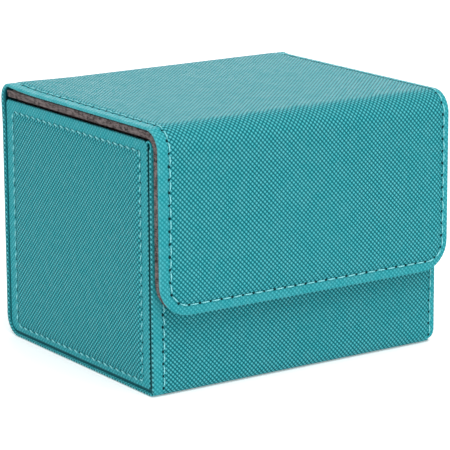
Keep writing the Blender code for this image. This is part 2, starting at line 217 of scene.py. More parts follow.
def border_rings(reach, crown, border_grain, edge_grain, sewn=1.0, droop=DROOP):
    """From the crowned middle, down to the stitch groove and over the border to the rounded edge."""
    rings = [Ring(reach, crown, 1.0)]
    for away in BORDER_STEPS:
        rise = shared(*SHOULDER, away) * crown
        groove = -GROOVE_DEPTH * math.exp(-(away / GROOVE_WIDTH) ** 2) * sewn
        outside = shared(0.0, DROOP_WIDTH, -away)
        grain = mixed(border_grain, 1.0, shared(*FULL_GRAIN, away))
        pucker = PUCKER_DEPTH * math.exp(-((away - PUCKER_PLACE) / PUCKER_WIDTH) ** 2) * sewn
        rings.append(Ring(STITCH + away * MM, rise + groove - droop * outside, grain, None, pucker))
    for angle in quarter(EDGE_STEPS):
        inset = EDGE_ROUND * (1 - math.sin(angle))
        height = -droop - EDGE_ROUND * (1 - math.cos(angle))
        rings.append(Ring(inset, height, mixed(border_grain, edge_grain, math.sin(angle)),
                          EDGE_ROUND * (1 - angle), 0.0, math.sin(angle)))
    return rings


def turned_under(rings, low, rim, pocket, wall, reach, grain, corner=0.24 * MM):
    """Rings carried on, round the edge to low, in to a rim that may hang lower, and to the pocket.

    A plain sheet has its rim and pocket at low. A turned edge has its rim inside the lower corner, which
    leaves a narrow recess below it, and its pocket holds the board.
    """
    top = rings[-1].height
    run = top - low
    rings = rings + [Ring(0.0, (top + low + corner) / 2, grain, -run / 2, 0.0, SIDE_WEAR_AND_SHADE)]
    for angle in quarter(UNDER_STEPS):
        rings.append(Ring(corner * (1 - math.cos(angle)), low + corner * (1 - math.sin(angle)), grain,
                          -run + corner * (1 - angle), 0.0, UNDER_WEAR_AND_SHADE))
    for inset, height in ((wall - LOW_LIP, low), (wall - RIM_LIP, rim), (wall, rim), (wall, pocket),
                          (reach, pocket)):
        rings.append(Ring(inset, height, 0.0, -run - inset, 0.0, RECESS))
    return rings


def fitted(inset, stitch):
    """A nominal inset, stretched for a side whose stitch line has its own inset."""
    if inset <= NEAR_EDGE:
        return inset
    if inset <= STITCH:
        return NEAR_EDGE + (stitch - NEAR_EDGE) * (inset - NEAR_EDGE) / (STITCH - NEAR_EDGE)
    return stitch + inset - STITCH


class Panel:
    """A rectangle with round corners in flat space, open at its top end or closed all round.

    sides holds the stitch line's inset from the left, bottom, right and top edges. corners holds the outer
    radius and the stitch line's radius, for the bottom left, bottom right, top right and top left.
    """

    def __init__(self, left, right, bottom, top, sides, corners, spacing, reach, open_top=False):
        self.left, self.right, self.bottom, self.top = left, right, bottom, top
        self.sides, self.corners, self.reach, self.open_top = sides, corners, reach, open_top
        inner = self.insets(reach)
        top_end = top if open_top else top - inner[3]
        count_v = max(2, round((top_end - bottom - inner[1]) / spacing))
        count_u = max(2, round((right - left - inner[0] - inner[2]) / spacing))
        self.rows = np.linspace(bottom + inner[1], top_end, count_v + 1)
        self.columns = np.linspace(left + inner[0], right - inner[2], count_u + 1)

    def insets(self, inset):
        return [fitted(inset, side) for side in self.sides]

    def corner_radius(self, index, inset):
        outer, inner = self.corners[index]
        if inset <= NEAR_EDGE:
            return max(outer - inset, 0.0)
        if inset <= STITCH:
            share = (inset - NEAR_EDGE) / (STITCH - NEAR_EDGE)
            return mixed(max(outer - NEAR_EDGE, 0.0), inner, share)
        return max(inner - (inset - STITCH), 0.0)

    def corner(self, index, inset, first, second):
        """Points round a corner, as distances from its first and second edges."""
        insets, inner = self.insets(inset), self.insets(self.reach)
        a, b, reach_a, reach_b = insets[first], insets[second], inner[first], inner[second]
        radius = self.corner_radius(index, inset)
        points = []
        for i in range(1, CORNER_LINE):
            points.append((a, reach_b + (b + radius - reach_b) * i / CORNER_LINE))
        for angle in quarter(CORNER_BEND):
            points.append((a + radius * (1 - math.cos(angle)), b + radius * (1 - math.sin(angle))))
        for i in range(1, CORNER_LINE):
            points.append((a + radius + (reach_a - a - radius) * i / CORNER_LINE, b))
        return points

    def outline(self, inset):
        """The ring at an inset: down the left, along the bottom, up the right and back along the top."""
        left, bottom, right, top = self.insets(inset)
        points = [(self.left + left, v) for v in self.rows[::-1]]
        points += [(self.left + a, self.bottom + b) for a, b in self.corner(0, inset, 0, 1)]
        points += [(u, self.bottom + bottom) for u in self.columns]
        points += [(self.right - a, self.bottom + b) for a, b in self.corner(1, inset, 2, 1)[::-1]]
        points += [(self.right - right, v) for v in self.rows]
        if not self.open_top:
            points += [(self.right - a, self.top - b) for a, b in self.corner(2, inset, 2, 3)]
            points += [(u, self.top - top) for u in self.columns[::-1]]
            points += [(self.left + a, self.top - b) for a, b in self.corner(3, inset, 0, 3)[::-1]]
        return np.array(points)

    def stitch_line(self):
        """The stitch line's points and how far along it each one is."""
        points = self.outline(STITCH)
        if not self.open_top:
            points = np.vstack([points, points[:1]])
        steps = np.hypot(*np.diff(points, axis=0).T)
        return points, np.concatenate([[0.0], np.cumsum(steps)])


def link(name, data):
    made = bpy.data.objects.new(name, data)
    bpy.context.scene.collection.objects.link(made)
    return made


WELD_CELLS, WELD_SHIFT = 1e6, 0.3137  # points in one cell of 1 micrometre are welded
SHARP_DEGREES = 55
PATTERN_WRAP = 3 * MM  # the embossing is carried round an edge this far
STRIP_COLUMNS = 40


class MeshParts:
    """Collects flat-space points and faces, welds equal points and makes the object."""

    def __init__(self):
        self.points, self.faces = [], []
        self.count = 0

    def add(self, u, v, h, pattern_u, pattern_v, grain, edge=0.0):
        """Flat points, with their places in the pattern and their marks. Gives the first one's index."""
        columns = (u, v, h, pattern_u, pattern_v, grain, edge)
        self.points.append(np.column_stack([np.broadcast_to(part, len(u)) for part in columns]))
        self.count += len(u)
        return self.count - len(u)

    def join(self, previous, first, size, closed=True):
        """Quads from the ring before, if any, to a ring of the same size, which is given back."""
        if previous is not None:
            for i in range(size if closed else size - 1):
                j = (i + 1) % size
                self.faces.append((previous + i, previous + j, first + j, first + i))
        return first

    def disc(self, first, size):
        self.faces.append(tuple(range(first, first + size)))

    def build(self, name, surface, material, cap=False):
        u, v, h, pattern_u, pattern_v, grain, edge = np.vstack(self.points).T
        points = surface.place(u, v, h)
        keys = np.floor(points * WELD_CELLS + WELD_SHIFT).astype(np.int64)
        _, kept, where = np.unique(keys, axis=0, return_index=True, return_inverse=True)
        where = where.ravel()
        faces = []
        for face in self.faces:
            corners = []
            for index in face:
                new = int(where[index])
                if not corners or (corners[-1] != new and corners[0] != new):
                    corners.append(new)
            if len(corners) > 2:
                faces.append(corners)
        mesh = bpy.data.meshes.new(name)
        mesh.from_pydata(points[kept].tolist(), [], faces)
        for title, values in (("grain", grain), ("edge", edge)):
            marks = mesh.attributes.new(title, "FLOAT", "POINT")
            marks.data.foreach_set("value", values[kept].astype(np.float32))
        corner_index = np.zeros(len(mesh.loops), int)
        mesh.loops.foreach_get("vertex_index", corner_index)
        layer = mesh.uv_layers.new(name="pattern")
        pattern = np.column_stack([pattern_u, pattern_v])[kept][corner_index]
        layer.data.foreach_set("uv", pattern.astype(np.float32).ravel())
        builder = bmesh.new()
        builder.from_mesh(mesh)
        if cap:
            open_edges = [line for line in builder.edges if line.is_boundary]
            bmesh.ops.holes_fill(builder, edges=open_edges, sides=0)
        bmesh.ops.recalc_face_normals(builder, faces=builder.faces)
        builder.to_mesh(mesh)
        builder.free()
        mesh.shade_smooth()
        mesh.set_sharp_from_angle(angle=math.radians(SHARP_DEGREES))
        mesh.materials.append(material)
        return link(name, mesh)


def panel_object(name, panel, rings, surface, material, pitch=None):
    """A closed panel from its rings, which run from the middle of its face to the middle of its back."""
    parts = MeshParts()
    _, along = panel.stitch_line()
    previous = None
    for ring in rings:
        points = panel.outline(ring.inset)
        pattern = panel.outline(max(ring.pattern, -PATTERN_WRAP))
        height = np.full(len(points), ring.height)
        if pitch and ring.pucker:
            height -= ring.pucker * np.cos(2 * math.pi * along[:len(points)] / pitch)
        first = parts.add(*points.T, height, *pattern.T, ring.grain, ring.edge)
        previous = parts.join(previous, first, len(points), not panel.open_top)
    for ring in (rings[0], rings[-1]):
        u, v = np.meshgrid(panel.columns, panel.rows)
        u, v = u.ravel(), v.ravel()
        first = parts.add(u, v, ring.height, u, v, ring.grain, ring.edge)
        wide = len(panel.columns)
        for i in range(len(panel.rows) - 1):
            parts.join(first + i * wide, first + (i + 1) * wide, wide, False)
    return parts.build(name, surface, material, cap=panel.open_top)


def round_strip(values):
    """Each ring's value on the strip's left edge, over its top, on its right edge and under it."""
    inside = STRIP_COLUMNS - 1
    return values[::-1] + values[:1] * inside + values + values[-1:] * inside


def both_sides(insets, sides, stitches):
    """Places across a strip at each inset from its left side, and from its right."""
    return ([sides[0] + fitted(inset, stitches[0]) for inset in insets],
            [sides[1] - fitted(inset, stitches[1]) for inset in insets])


def strip_object(name, surface, stations, sides_at, insets_at, rings_at, material, pitch=None):
    """A strip swept along its surface between sides_at(v), with its rings on both edges, and closed ends."""
    parts = MeshParts()
    previous = None
    for v in stations:
        rings, sides, stitches = rings_at(v), sides_at(v), insets_at(v)
        left, right = both_sides([r.inset for r in rings], sides, stitches)
        columns = np.linspace(left[0], right[0], STRIP_COLUMNS + 1)[1:-1]
        low_columns = np.linspace(right[-1], left[-1], STRIP_COLUMNS + 1)[1:-1]
        u = [*left[::-1], *columns, *right, *low_columns]
        left, right = both_sides([r.pattern for r in rings], sides, stitches)
        pattern = [*left[::-1], *columns, *right, *low_columns]
        wave = math.cos(2 * math.pi * v / pitch) if pitch else 0.0
        height = round_strip([r.height - r.pucker * wave for r in rings])
        grain = round_strip([r.grain for r in rings])
        edge = round_strip([r.edge for r in rings])
        first = parts.add(u, v, height, pattern, v, grain, edge)
        previous = parts.join(previous, first, len(u))
    return parts.build(name, surface, material, cap=True)


# -------- stitches

THREAD_SIDES, THREAD_STEPS = 8, 14
THREAD_GAP = 0.06  # the part of a stitch left out at each end, inside its hole
THREAD_SINK = 0.24 * MM  # how deep a stitch's ends go
TIP_SHARE, TIP_RISE = 0.55, 6  # the radius's share at a stitch's ends, and how fast it grows from there
STRAND_DEPTH, STRAND_LAY = 0.24, 1.7 * MM  # the lobes' share of the radius, and the length of one twist
LEAN_SPREAD = 0.05
BOW_SPREAD, SLACK_SPREAD, HOLE_SPREAD = (0.7, 1.25), (0.8, 1.15), (0.8, 1.2)
HOLE_SIDES = 10
HOLE_LONG, HOLE_WIDE = 0.42 * MM, 0.36 * MM
HOLE_PROFILE = ((0.0, -0.16), (0.75, -0.10), (1.0, 0.0), (0.75, 0.035), (0.0, 0.045))  # share, height in mm
LOOK = 0.1 * MM  # how far along a line its direction is measured
LINE_STEP = 0.5 * MM


def round_angles(sides):
    return np.arange(sides) * 2 * math.pi / sides


# How a line is sewn: thread radius, each stitch's bow, lean and lift, the holes' size, and how narrow the
# painted glint on a stitch's crest is.
Thread = namedtuple("Thread", "radius bow lean lift hole glint")


def along_line(points, along, s):
    """A place on a line, with the line's direction there."""
    places = np.clip([s, s - LOOK, s + LOOK], 0.0, along[-1])
    u, v = (np.interp(places, along, points[:, axis]) for axis in (0, 1))
    du, dv = u[2] - u[1], v[2] - v[1]
    length = math.hypot(du, dv)
    return u[0], v[0], du / length, dv / length


def add_stitches(parts, line, ends, sewn):
    """A twisted length of thread from each needle hole to the next."""
    points, along = line
    angles = round_angles(THREAD_SIDES)
    for start, end in zip(ends, ends[1:]):
        lean = sewn.lean + chance.normal(0.0, LEAN_SPREAD) * MM
        bow = sewn.bow * chance.uniform(*BOW_SPREAD)
        slack = chance.uniform(*SLACK_SPREAD)
        turn = chance.uniform(0.0, math.pi)
        previous = None
        for i in range(THREAD_STEPS + 1):
            t = i / THREAD_STEPS
            s = start + (end - start) * mixed(THREAD_GAP, 1 - THREAD_GAP, t)
            u, v, du, dv = along_line(points, along, s)
            arch = 1 - (2 * t - 1) ** 4
            lift = (THREAD_SINK + sewn.lift * slack) * arch - THREAD_SINK
            offset = lean * math.sin(math.pi * (t - 0.5)) - bow * arch * dv
            radius = sewn.radius * mixed(TIP_SHARE, 1, min(1.0, TIP_RISE * t, TIP_RISE * (1 - t)))
            twist = turn + 2 * math.pi * (s - start) / STRAND_LAY
            lobes = radius * (1 + STRAND_DEPTH * np.cos(2 * (angles - twist)))
            across = offset + lobes * np.cos(angles)
            up = lift + lobes * np.sin(angles)
            # the grain mark carries each point's share of the painted glint, highest at the stitch's middle
            first = parts.add(u - across * dv, v + across * du, up, t, angles / (2 * math.pi),
                              math.sin(math.pi * t) ** sewn.glint)
            if previous is None:
                parts.disc(first, THREAD_SIDES)
            previous = parts.join(previous, first, THREAD_SIDES)
        parts.disc(previous, THREAD_SIDES)


def add_holes(parts, line, marks, sewn):
    """A needle hole at each mark, painted dark with shade, with a soft rim that lies just over the leather.
    """
    points, along = line
    angles = round_angles(HOLE_SIDES)
    for mark in marks:
        u, v, du, dv = along_line(points, along, mark)
        size = chance.uniform(*HOLE_SPREAD) * sewn.hole
        previous = None
        for share, lift in HOLE_PROFILE:
            a = share * HOLE_LONG * size * np.cos(angles)
            b = share * HOLE_WIDE * size * np.sin(angles)
            first = parts.add(u + a * du - b * dv, v + a * dv + b * du, lift * MM, a, b, 1.0)
            previous = parts.join(previous, first, HOLE_SIDES)


def stitched(name, surface, lines, pitch, sewn, loop=False):
    """The thread and the evenly spaced needle holes of some stitch lines, as two objects."""
    thread, holes = MeshParts(), MeshParts()
    for line in lines:
        length = line[1][-1]
        marks = np.linspace(0.0, length, max(1, round(length / pitch)) + 1)
        add_stitches(thread, line, marks, sewn)
        add_holes(holes, line, marks[:-1] if loop else marks, sewn)
    made = thread.build(name, surface, FINISH["thread"])
    dark = holes.build(name + "_holes", surface, FINISH["hole"])
    return made, dark


def straight_lines(sides_at, insets_at, start, end):
    """The left and right stitch lines of a strip, from one place along it to another."""
    stations = np.linspace(start, end, max(2, round((end - start) / LINE_STEP)))
    lines = []
    for side, sign in ((0, 1), (1, -1)):
        points = np.array([(sides_at(v)[side] + sign * insets_at(v)[side], v) for v in stations])
        lines.append((points, stations - start))
    return lines


# -------- finishes

EMBOSS_PITCH = 1.06 * MM  # between the rows of domes
EMBOSS_DEPTH = 0.22 * MM
EMBOSS_WANDER = 0.22 * MM  # how far the rows stray
PRESSED = (0.72, 0.72, 0.72)  # how high the leather is, among the domes, where it is pressed flat
RECESS_SHADE = -0.9  # times RECESS, the share of painted shade inside a seam
TEAL = (0.036, 0.468, 0.525)
# painted highlight for the domes' tops
TEAL_CREST_HIGHLIGHT = (0.19, 0.56, 0.61)
TEAL_DEEP = (0.01, 0.3, 0.34)
TEAL_WORN = (0.18, 0.64, 0.67)
# painted shade for the crevices between the domes
CREVICE_SHADE = (0.0005, 0.08, 0.1)
# painted shade for seams and for the crevices of turned edges
SEAM_SHADE = (0.001, 0.062, 0.076)
GREY_DARK = (0.02, 0.014, 0.014)
GREY_LIGHT = (0.21, 0.173, 0.17)
GREY_RUBBED = (0.15, 0.12, 0.115)
# painted shade inside the microfibre's seams
GREY_SEAM_SHADE = (0.004, 0.004, 0.004)
# the thread's painted shade, its lit colour and its painted glint
THREAD_SHADED = (0.02, 0.29, 0.33)
THREAD_LIT = (0.15, 0.62, 0.68)
THREAD_GLINT = (0.4, 0.97, 1.000)
# painted shade for the inside of a needle hole and its lip
HOLE_DEEP_SHADE, HOLE_LIP_SHADE = (0.001, 0.012, 0.014), (0.003, 0.05, 0.058)
BOARD_DARK, BOARD_LIGHT, BOARD_FLECK = (0.17, 0.145, 0.12), (0.26, 0.23, 0.2), (0.05, 0.045, 0.04)
NICKEL_DARK, NICKEL_LIGHT = (0.52, 0.5, 0.46), (0.68, 0.66, 0.62)
CARD_DARK, CARD_LIGHT = (0.9, 0.9, 0.9), (0.93, 0.93, 0.93)


class Finish:
    """A material made of nodes, with short names for the few kinds that it needs."""

    def __init__(self, name):
        self.material = bpy.data.materials.new(name)
        self.material.use_nodes = True
        self.tree = self.material.node_tree
        self.tree.nodes.clear()
        self.shader = self.node("BsdfPrincipled")
        self.node("OutputMaterial", {"Surface": self.shader.outputs[0]})

    def node(self, kind, inputs=(), **settings):
        made = self.tree.nodes.new("ShaderNode" + kind)
        for key, value in settings.items():
            setattr(made, key, value)
        for key, value in dict(inputs).items():
            self.put(made.inputs[key], value)
        return made

    def put(self, socket, value):
        if isinstance(value, bpy.types.NodeSocket):
            self.tree.links.new(value, socket)
        else:
            socket.default_value = value

    def set(self, **values):
        """Sets the shader's inputs and gives the finished material."""
        for key, value in values.items():
            self.put(self.shader.inputs[key.replace("_", " ")], value)
        return self.material

    def place(self):
        return self.node("TexCoord").outputs["Object"]

    def pattern(self):
        return self.node("UVMap", uv_map="pattern").outputs["UV"]

    def mark(self, name):
        return self.node("Attribute", attribute_name=name).outputs["Fac"]

    def math(self, operation, a, b=0.0):
        return self.node("Math", {0: a, 1: b}, operation=operation).outputs[0]

    def plus(self, a, b):
        return self.math("ADD", a, b)

    def times(self, a, b):
        return self.math("MULTIPLY", a, b)

    def vector(self, operation, a, b):
        return self.node("VectorMath", {0: a, 1: b}, operation=operation).outputs[0]

    def noise(self, place, scale, detail=2.0, roughness=0.5):
        return self.node("TexNoise", {"Vector": place, "Scale": scale, "Detail": detail,
                                      "Roughness": roughness}).outputs["Fac"]

    def between(self, value, low, high, out_low=0.0, out_high=1.0):
        return self.node("MapRange", {"Value": value, "From Min": low, "From Max": high,
                                      "To Min": out_low, "To Max": out_high}).outputs["Result"]

    def mix(self, share, a, b):
        made = self.node("Mix", data_type="RGBA")
        self.put(made.inputs["Factor"], share)
        for socket, value in ((made.inputs[6], a), (made.inputs[7], b)):
            self.put(socket, value if isinstance(value, bpy.types.NodeSocket) else (*value, 1.0))
        return made.outputs[2]

    def bump(self, height, distance):
        return self.node("Bump", {"Height": height, "Distance": distance, "Strength": 1.0}).outputs["Normal"]


def leatherette():
    """Embossed leatherette: small domes in diagonal rows both ways, pressed flat in the borders."""
    f = Finish("leatherette")
    place = f.place()
    drift = f.node("TexNoise", {"Vector": place, "Scale": 90.0, "Detail": 1.0}).outputs["Color"]
    wander = f.vector("MULTIPLY", f.vector("SUBTRACT", drift, (0.5, 0.5, 0.5)), (EMBOSS_WANDER,) * 3)
    along = f.node("SeparateXYZ", {0: f.vector("ADD", f.pattern(), wander)})
    turn = math.pi / (EMBOSS_PITCH * math.sqrt(2))
    rows = []
    for operation, power in (("ADD", 0.9), ("SUBTRACT", 0.6)):
        phase = f.times(f.math(operation, along.outputs[0], along.outputs[1]), turn)
        rows.append(f.math("POWER", f.math("ABSOLUTE", f.math("SINE", phase)), power))
    grain, edge = f.mark("grain"), f.mark("edge")
    pressed = f.mix(grain, PRESSED, f.times(*rows))
    pores = f.noise(place, 2600.0, 3.0, 0.6)
    clouds = f.noise(place, 34.0, 3.0)
    mottle = f.noise(place, 420.0)

    depth = f.between(pressed, 0.1, 0.95)
    # painted shade: the crevices between the domes are darker, as shade falls there
    colour = f.mix(depth, CREVICE_SHADE, TEAL)
    # painted highlight on the domes' tops
    colour = f.mix(f.between(depth, 0.72, 1.0, 0.0, 0.45), colour, TEAL_CREST_HIGHLIGHT)
    colour = f.mix(f.between(clouds, 0.3, 0.7, 0.0, 0.16), colour, TEAL_DEEP)
    # random patches of painted highlight on the domes' tops
    colour = f.mix(f.times(depth, f.between(mottle, 0.35, 0.75, 0.0, 0.2)), colour, TEAL_CREST_HIGHLIGHT)
    # painted shade in the crevices of a turned edge
    turned = f.times(edge, f.between(depth, 0.2, 0.5, 1.0, 0.0))
    colour = f.mix(f.times(turned, grain), colour, SEAM_SHADE)
    wear = f.times(edge, f.between(mottle, 0.35, 0.7, 0.05, 0.5))
    colour = f.mix(f.times(wear, depth), colour, TEAL_WORN)
    # painted shade inside a seam's recess
    colour = f.mix(f.times(edge, RECESS_SHADE), colour, SEAM_SHADE)
    rough = f.between(f.plus(f.times(mottle, 0.6), f.times(depth, 0.4)), 0.2, 0.8, 0.62, 0.42)
    return f.set(Base_Color=colour, Roughness=rough, IOR=1.45, Specular_IOR_Level=0.09,
                 Normal=f.bump(f.plus(pressed, f.times(pores, 0.16)), EMBOSS_DEPTH))


def microfibre():
    """Brushed grey microfibre: short fibres lying all ways, a little lighter where the nap is rubbed."""
    f = Finish("microfibre")
    place = f.place()
    fibres = f.noise(f.vector("MULTIPLY", place, (1.0, 0.35, 2.2)), 1700.0, 4.0, 0.7)
    tufts = f.noise(place, 700.0, 3.0, 0.6)
    rubbed = f.noise(place, 60.0)
    nap = f.plus(f.times(fibres, 0.6), f.times(tufts, 0.4))
    colour = f.mix(f.between(nap, 0.42, 0.58), GREY_DARK, GREY_LIGHT)
    colour = f.mix(f.between(rubbed, 0.35, 0.7, 0.0, 0.2), colour, GREY_RUBBED)
    # painted shade inside a seam's recess
    colour = f.mix(f.times(f.mark("edge"), RECESS_SHADE), colour, GREY_SEAM_SHADE)
    return f.set(Base_Color=colour, Roughness=f.between(nap, 0.3, 0.7, 1.0, 0.86), Specular_IOR_Level=0.1,
                 Sheen_Weight=0.04, Sheen_Roughness=0.5, Normal=f.bump(nap, 0.3 * MM))


def thread_finish():
    """Twisted polyester thread, with painted highlight where a strand turns up, painted shade in the lay
    between strands and at a stitch's ends, and a painted glint on its crest.
    """
    f = Finish("thread")
    along = f.node("SeparateXYZ", {0: f.pattern()})
    lay = f.plus(f.times(along.outputs[0], 6.5), along.outputs[1])
    strands = f.math("ABSOLUTE", f.math("SINE", f.times(lay, 2 * math.pi)))
    fuzz = f.noise(f.place(), 3000.0)
    crest = f.mark("grain")
    # painted shade in the lay between strands, painted highlight on their tops
    colour = f.mix(f.between(strands, 0.0, 0.7), THREAD_SHADED, THREAD_LIT)
    # painted shade towards a stitch's ends, where it dives into its hole
    colour = f.mix(f.between(crest, 0.0, 0.6, 0.75, 0.0), colour, THREAD_SHADED)
    # painted glint on the crest of each stitch
    colour = f.mix(f.times(crest, f.between(fuzz, 0.3, 0.7, 0.3, 0.9)), colour, THREAD_GLINT)
    return f.set(Base_Color=colour, Roughness=f.between(fuzz, 0.2, 0.8, 0.5, 0.38), Specular_IOR_Level=0.25,
                 Sheen_Weight=0.05, Normal=f.bump(f.plus(strands, f.times(fuzz, 0.3)), 0.06 * MM))


def hole_finish():
    """The inside of a needle hole, painted dark with shade, a little lighter at its lip."""
    f = Finish("needle_hole_shade")
    fray = f.noise(f.place(), 2400.0, 3.0)
    return f.set(Base_Color=f.mix(f.between(fray, 0.3, 0.75), HOLE_DEEP_SHADE, HOLE_LIP_SHADE),
                 Roughness=f.between(fray, 0.3, 0.7, 0.95, 0.8), Specular_IOR_Level=0.1,
                 Normal=f.bump(fray, 0.08 * MM))


def board_finish():
    """Greyboard: pressed waste paper, with flecks and short fibres."""
    f = Finish("board")
    place = f.place()
    fibres = f.noise(f.vector("MULTIPLY", place, (1.0, 1.0, 6.0)), 900.0, 4.0, 0.7)
    flecks = f.noise(place, 1500.0, 1.0)
    colour = f.mix(f.between(fibres, 0.3, 0.7), BOARD_DARK, BOARD_LIGHT)
    colour = f.mix(f.between(flecks, 0.66, 0.72), colour, BOARD_FLECK)
    return f.set(Base_Color=colour, Roughness=f.between(fibres, 0.3, 0.7, 0.95, 0.8),
                 Normal=f.bump(fibres, 0.1 * MM))


def magnet_finish():
    """Nickel plate with fine turning marks."""
    f = Finish("magnet")
    marks = f.noise(f.vector("MULTIPLY", f.place(), (9.0, 1.0, 1.0)), 500.0, 3.0)
    return f.set(Base_Color=f.mix(marks, NICKEL_DARK, NICKEL_LIGHT), Metallic=1.0,
                 Roughness=f.between(marks, 0.3, 0.7, 0.22, 0.36), Normal=f.bump(marks, 0.02 * MM))


def floor_finish():
    """Smooth, nearly white card."""
    f = Finish("floor")
    tooth = f.noise(f.place(), 300.0, 3.0)
    return f.set(Base_Color=f.mix(tooth, CARD_DARK, CARD_LIGHT),
                 Roughness=f.between(tooth, 0.0, 1.0, 0.85, 0.95),
                 Specular_IOR_Level=0.1, Emission_Color=(1.0, 1.0, 1.0, 1.0), Emission_Strength=0.25)


FINISH = {
    "leatherette": leatherette(),
    "microfibre": microfibre(),
    "thread": thread_finish(),
    "hole": hole_finish(),
    "board": board_finish(),
    "magnet": magnet_finish(),
}


# -------- the cover: flap, lid, back and half the bottom

cover = Path(FLAP_FACE, FLAP_BOTTOM, 90)
cover.run(LID_TOP - FOLD_RADIUS - FLAP_BOTTOM)
cover.bend(FOLD_RADIUS, 90)
cover.run(BACK_FACE - HINGE_RADIUS - FLAP_FACE - FOLD_RADIUS)
HINGE_V = cover.length
SEAM_V = HINGE_V - (BACK_FACE - HINGE_RADIUS - SEAM_Y)
cover.bend(HINGE_RADIUS, 90)
BACK_V = cover.length
cover.run(LID_TOP - HINGE_RADIUS - BOTTOM_RADIUS)
CORNER_V = cover.length
cover.bend(BOTTOM_RADIUS, 90)
BOTTOM_V = cover.length
cover.run(BACK_FACE - BOTTOM_RADIUS - BOTTOM_SEAM_Y)
COVER_END_V = cover.length

LID_SHIFT = 0.15 * MM  # the cover sits a hair to the right of the body
BAND_SHIFT = -0.15 * MM
COVER_SIDES = np.array([LID_SHIFT - LID_HALF, LID_SHIFT + LID_HALF])
BAND_SIDES = np.array([BAND_SHIFT - BAND_HALF, BAND_SHIFT + BAND_HALF])
COVER_INSETS = np.array([3.4 * MM, 2.5 * MM])
BAND_INSETS = np.array([3.5 * MM, 2.4 * MM])
COVER_REACH = STITCH + 7.9 * MM
BAND_REACH = STITCH + 6 * MM
COVER_CROWN = 0.42 * MM
COVER_SPACING = 0.7 * MM
FLAP_INSET = 3.2 * MM
FLAP_CORNERS = [(FLAP_CORNER, 6.3 * MM), (9.2 * MM, 5.6 * MM)]  # the edge's and the stitches' radii
OPEN_CORNERS = [(0.0, 0.0)] * 2
LID_BORDER, LID_EDGE = 0.5, 0.35  # how much embossing is left on a border, and on its turned edge
BACK_BORDER, BACK_EDGE = 0.4, 0.9
HINGE_LIFT = 0.4 * MM  # over the hinge nothing holds the border down
CORNER_LEAD = 3 * MM
LIFTED_V = (SEAM_V, HINGE_V + 2 * MM)
LOWERED_V = (BACK_V - 1 * MM, BACK_V + 9 * MM)
BAND_CROWN = 0.3 * MM
COVER_LOW = -1.0 * MM  # the underside of the cover's plain sheet
BACK_LOW, BOTTOM_LOW, FRONT_LOW = -1.5 * MM, -1.0 * MM, -1.1 * MM  # how far each wall's edge is turned down
RIM = -2.2 * MM
POCKET = -0.95 * MM

SPRING = 0.5 * MM
SPRING_PLACE, SPRING_LENGTH = 1.5 * MM, 7 * MM  # its middle, ahead of the hinge, and its reach along the lid
SPRING_SIDE, SPRING_WIDTH = 28 * MM, 24 * MM  # how far to the left it begins, and how wide it grows


class Sprung:
    """The cover's outer surface, which stands a little off the lid at the left end of the hinge."""

    def place(self, u, v, h):
        near = np.exp(-((v - HINGE_V + SPRING_PLACE) / SPRING_LENGTH) ** 2)
        return cover.place(u, v, h + SPRING * near * smooth((-u - SPRING_SIDE) / SPRING_WIDTH))


cover_face = Sprung()


def hinge_share(v):
    """0 on the lid, 1 on the back wall."""
    return shared(HINGE_V, BACK_V, v)


def corner_share(v):
    """0 on the back wall, 1 on the bottom."""
    return shared(CORNER_V - CORNER_LEAD, BOTTOM_V, v)


def cover_sides(v):
    return mixed(COVER_SIDES, BAND_SIDES, hinge_share(v))


def cover_insets(v):
    return mixed(COVER_INSETS, BAND_INSETS, hinge_share(v))


def raised(rings, amount):
    """The same rings, all a little further out."""
    return [Ring(r.inset, r.height + amount, r.grain, r.pattern, r.pucker, r.edge) for r in rings]


def cover_rings(v):
    """The cover's edge where it is a strip: a thin sheet on the lid, turned round the board at the back."""
    share, down = hinge_share(v), corner_share(v)
    lift = HINGE_LIFT * (shared(*LIFTED_V, v) - shared(*LOWERED_V, v))
    edge_grain = mixed(LID_EDGE, BACK_EDGE, share)
    top = border_rings(COVER_REACH, COVER_CROWN * (1 - down) - lift, mixed(LID_BORDER, BACK_BORDER, share),
                       edge_grain, 1 - down)
    low = mixed(mixed(COVER_LOW, BACK_LOW, share), BOTTOM_LOW, down)
    rim, pocket = mixed(COVER_LOW, RIM, share), mixed(COVER_LOW, POCKET, share)
    return raised(turned_under(top, low, rim, pocket, WALL, COVER_REACH, edge_grain), lift)


front_panel = Panel(*COVER_SIDES, 0.0, SEAM_V, [COVER_INSETS[0], FLAP_INSET, COVER_INSETS[1], 0.0],
                    FLAP_CORNERS + OPEN_CORNERS, COVER_SPACING, COVER_REACH, open_top=True)
cover_front = panel_object("cover_front", front_panel, cover_rings(SEAM_V), cover_face,
                           FINISH["leatherette"], COVER_PITCH)
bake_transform(cover_front)
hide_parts("flap_skin", "fold_skin", "lid_skin")

stations = spaced(SEAM_V, (HINGE_V, 5), (BACK_V, 18), (CORNER_V, 102), (BOTTOM_V, 16), (COVER_END_V, 15))
cover_back = strip_object("cover_back", cover_face, stations, cover_sides, cover_insets, cover_rings,
                          FINISH["leatherette"], COVER_PITCH)
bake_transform(cover_back)
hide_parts("hinge_skin", "back_skin", "bottom_skin")

